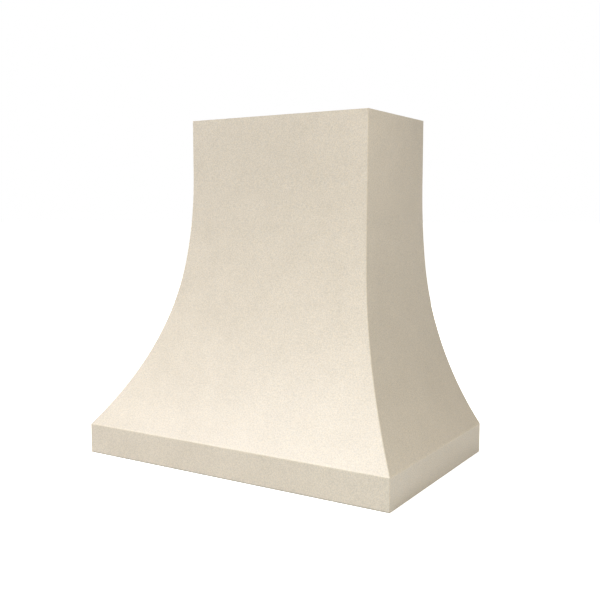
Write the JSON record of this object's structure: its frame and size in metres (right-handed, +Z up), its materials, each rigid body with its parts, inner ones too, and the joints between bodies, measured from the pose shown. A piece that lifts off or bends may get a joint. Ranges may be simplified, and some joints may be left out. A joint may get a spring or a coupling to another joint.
{
  "type": "curved range hood",
  "caption": "Wall-mounted range hood with a flared curved cover over a straight apron band, baffle filters, lamps, push buttons, a blower and a damped duct collar.",
  "frame": {"origin": "centre of the bottom rim's bounding rectangle, on the plane the rim stands on", "axes": "+X to the right seen from the front, +Y towards the wall, +Z up"},
  "size_m": [0.9144, 0.5716, 0.9144],
  "materials": {
    "plaster_coat": "matt plaster-look coat with a fine grain",
    "plywood": "raw sanded plywood",
    "softwood": "planed softwood",
    "stainless": "brushed stainless steel",
    "galvanised": "galvanised sheet",
    "motor_enamel": "dark baked enamel",
    "bright_steel": "ground steel",
    "bare_aluminium": "plain aluminium",
    "polished_trim": "polished",
    "lamp_glass": "frosted",
    "black_fascia": "gloss black",
    "black_moulding": "moulded black plastic",
    "nickel_magnet": "nickel plated"
  },
  "bodies": {
    "hood": {"apron_front": "plaster_coat", "apron_left": "plaster_coat", "apron_right": "plaster_coat", "back_frame": "plywood", "blower_box": "galvanised", "control_fascia": "black_fascia", "corner_battens": "softwood", "damper_rod": "bright_steel", "duct_collar": "galvanised", "filter_magnets": "nickel_magnet", "front_ledge": "stainless", "front_rib_left": "plywood", "front_rib_right": "plywood", "front_skin": "plaster_coat", "hanging_rail": "softwood", "hinge_ears": "stainless", "junction_box": "galvanised", "junction_cover": "galvanised", "lamp_bezel_left": "polished_trim", "lamp_bezel_right": "polished_trim", "lamp_can_left": "bare_aluminium", "lamp_can_right": "bare_aluminium", "lamp_lens_left": "lamp_glass", "lamp_lens_right": "lamp_glass", "left_skin": "plaster_coat", "liner_pan": "stainless", "liner_rail_back": "softwood", "liner_rail_front": "softwood", "liner_rail_left": "softwood", "liner_rail_right": "softwood", "liner_screws": "stainless", "motor": "motor_enamel", "motor_bracket": "galvanised", "rear_rail": "softwood", "right_skin": "plaster_coat", "scroll_side_left": "galvanised", "scroll_side_right": "galvanised", "scroll_wrap": "galvanised", "switch_bank": "black_moulding", "top_panel": "plywood", "wall_cleat": "softwood"},
    "filter_left": {"filter_left_baffles": "stainless", "filter_left_frame": "stainless", "filter_left_handle": "stainless"},
    "filter_centre": {"filter_centre_baffles": "stainless", "filter_centre_frame": "stainless", "filter_centre_handle": "stainless"},
    "filter_right": {"filter_right_baffles": "stainless", "filter_right_frame": "stainless", "filter_right_handle": "stainless"},
    "button_1": {"button_1": "polished_trim"},
    "button_2": {"button_2": "polished_trim"},
    "button_3": {"button_3": "polished_trim"},
    "button_4": {"button_4": "polished_trim"},
    "button_5": {"button_5": "polished_trim"},
    "wheel": {"wheel_frame": "galvanised", "wheel_blades": "galvanised", "motor_shaft": "bright_steel"},
    "flap_left": {"damper_flap_left": "bare_aluminium"},
    "flap_right": {"damper_flap_right": "bare_aluminium"}
  },
  "joints": [
    {"name": "filter_left_hinge", "type": "hinge", "parent": "hood", "child": "filter_left", "pos_m": [0, 0.214, 0.047], "axis": [1, 0, 0], "range_deg": [0, 75]},
    {"name": "filter_centre_hinge", "type": "hinge", "parent": "hood", "child": "filter_centre", "pos_m": [0, 0.214, 0.047], "axis": [1, 0, 0], "range_deg": [0, 75]},
    {"name": "filter_right_hinge", "type": "hinge", "parent": "hood", "child": "filter_right", "pos_m": [0, 0.214, 0.047], "axis": [1, 0, 0], "range_deg": [0, 75]},
    {"name": "button_1_push", "type": "slide", "parent": "hood", "child": "button_1", "axis": [0, 0, 1], "range_m": [0, 0.002], "stiffness_N_per_m": 400, "springref_m": -0.003},
    {"name": "button_2_push", "type": "slide", "parent": "hood", "child": "button_2", "axis": [0, 0, 1], "range_m": [0, 0.002], "stiffness_N_per_m": 400, "springref_m": -0.003},
    {"name": "button_3_push", "type": "slide", "parent": "hood", "child": "button_3", "axis": [0, 0, 1], "range_m": [0, 0.002], "stiffness_N_per_m": 400, "springref_m": -0.003},
    {"name": "button_4_push", "type": "slide", "parent": "hood", "child": "button_4", "axis": [0, 0, 1], "range_m": [0, 0.002], "stiffness_N_per_m": 400, "springref_m": -0.003},
    {"name": "button_5_push", "type": "slide", "parent": "hood", "child": "button_5", "axis": [0, 0, 1], "range_m": [0, 0.002], "stiffness_N_per_m": 400, "springref_m": -0.003},
    {"name": "wheel_spin", "type": "hinge", "parent": "hood", "child": "wheel", "pos_m": [0, 0.05475, 0.215], "axis": [1, 0, 0], "continuous": true},
    {"name": "flap_left_hinge", "type": "hinge", "parent": "hood", "child": "flap_left", "pos_m": [0, 0.10575, 0.386], "axis": [0, 1, 0], "range_deg": [0, 80]},
    {"name": "flap_right_hinge", "type": "hinge", "parent": "hood", "child": "flap_right", "pos_m": [0, 0.10575, 0.386], "axis": [0, -1, 0], "range_deg": [0, 80]}
  ]
}
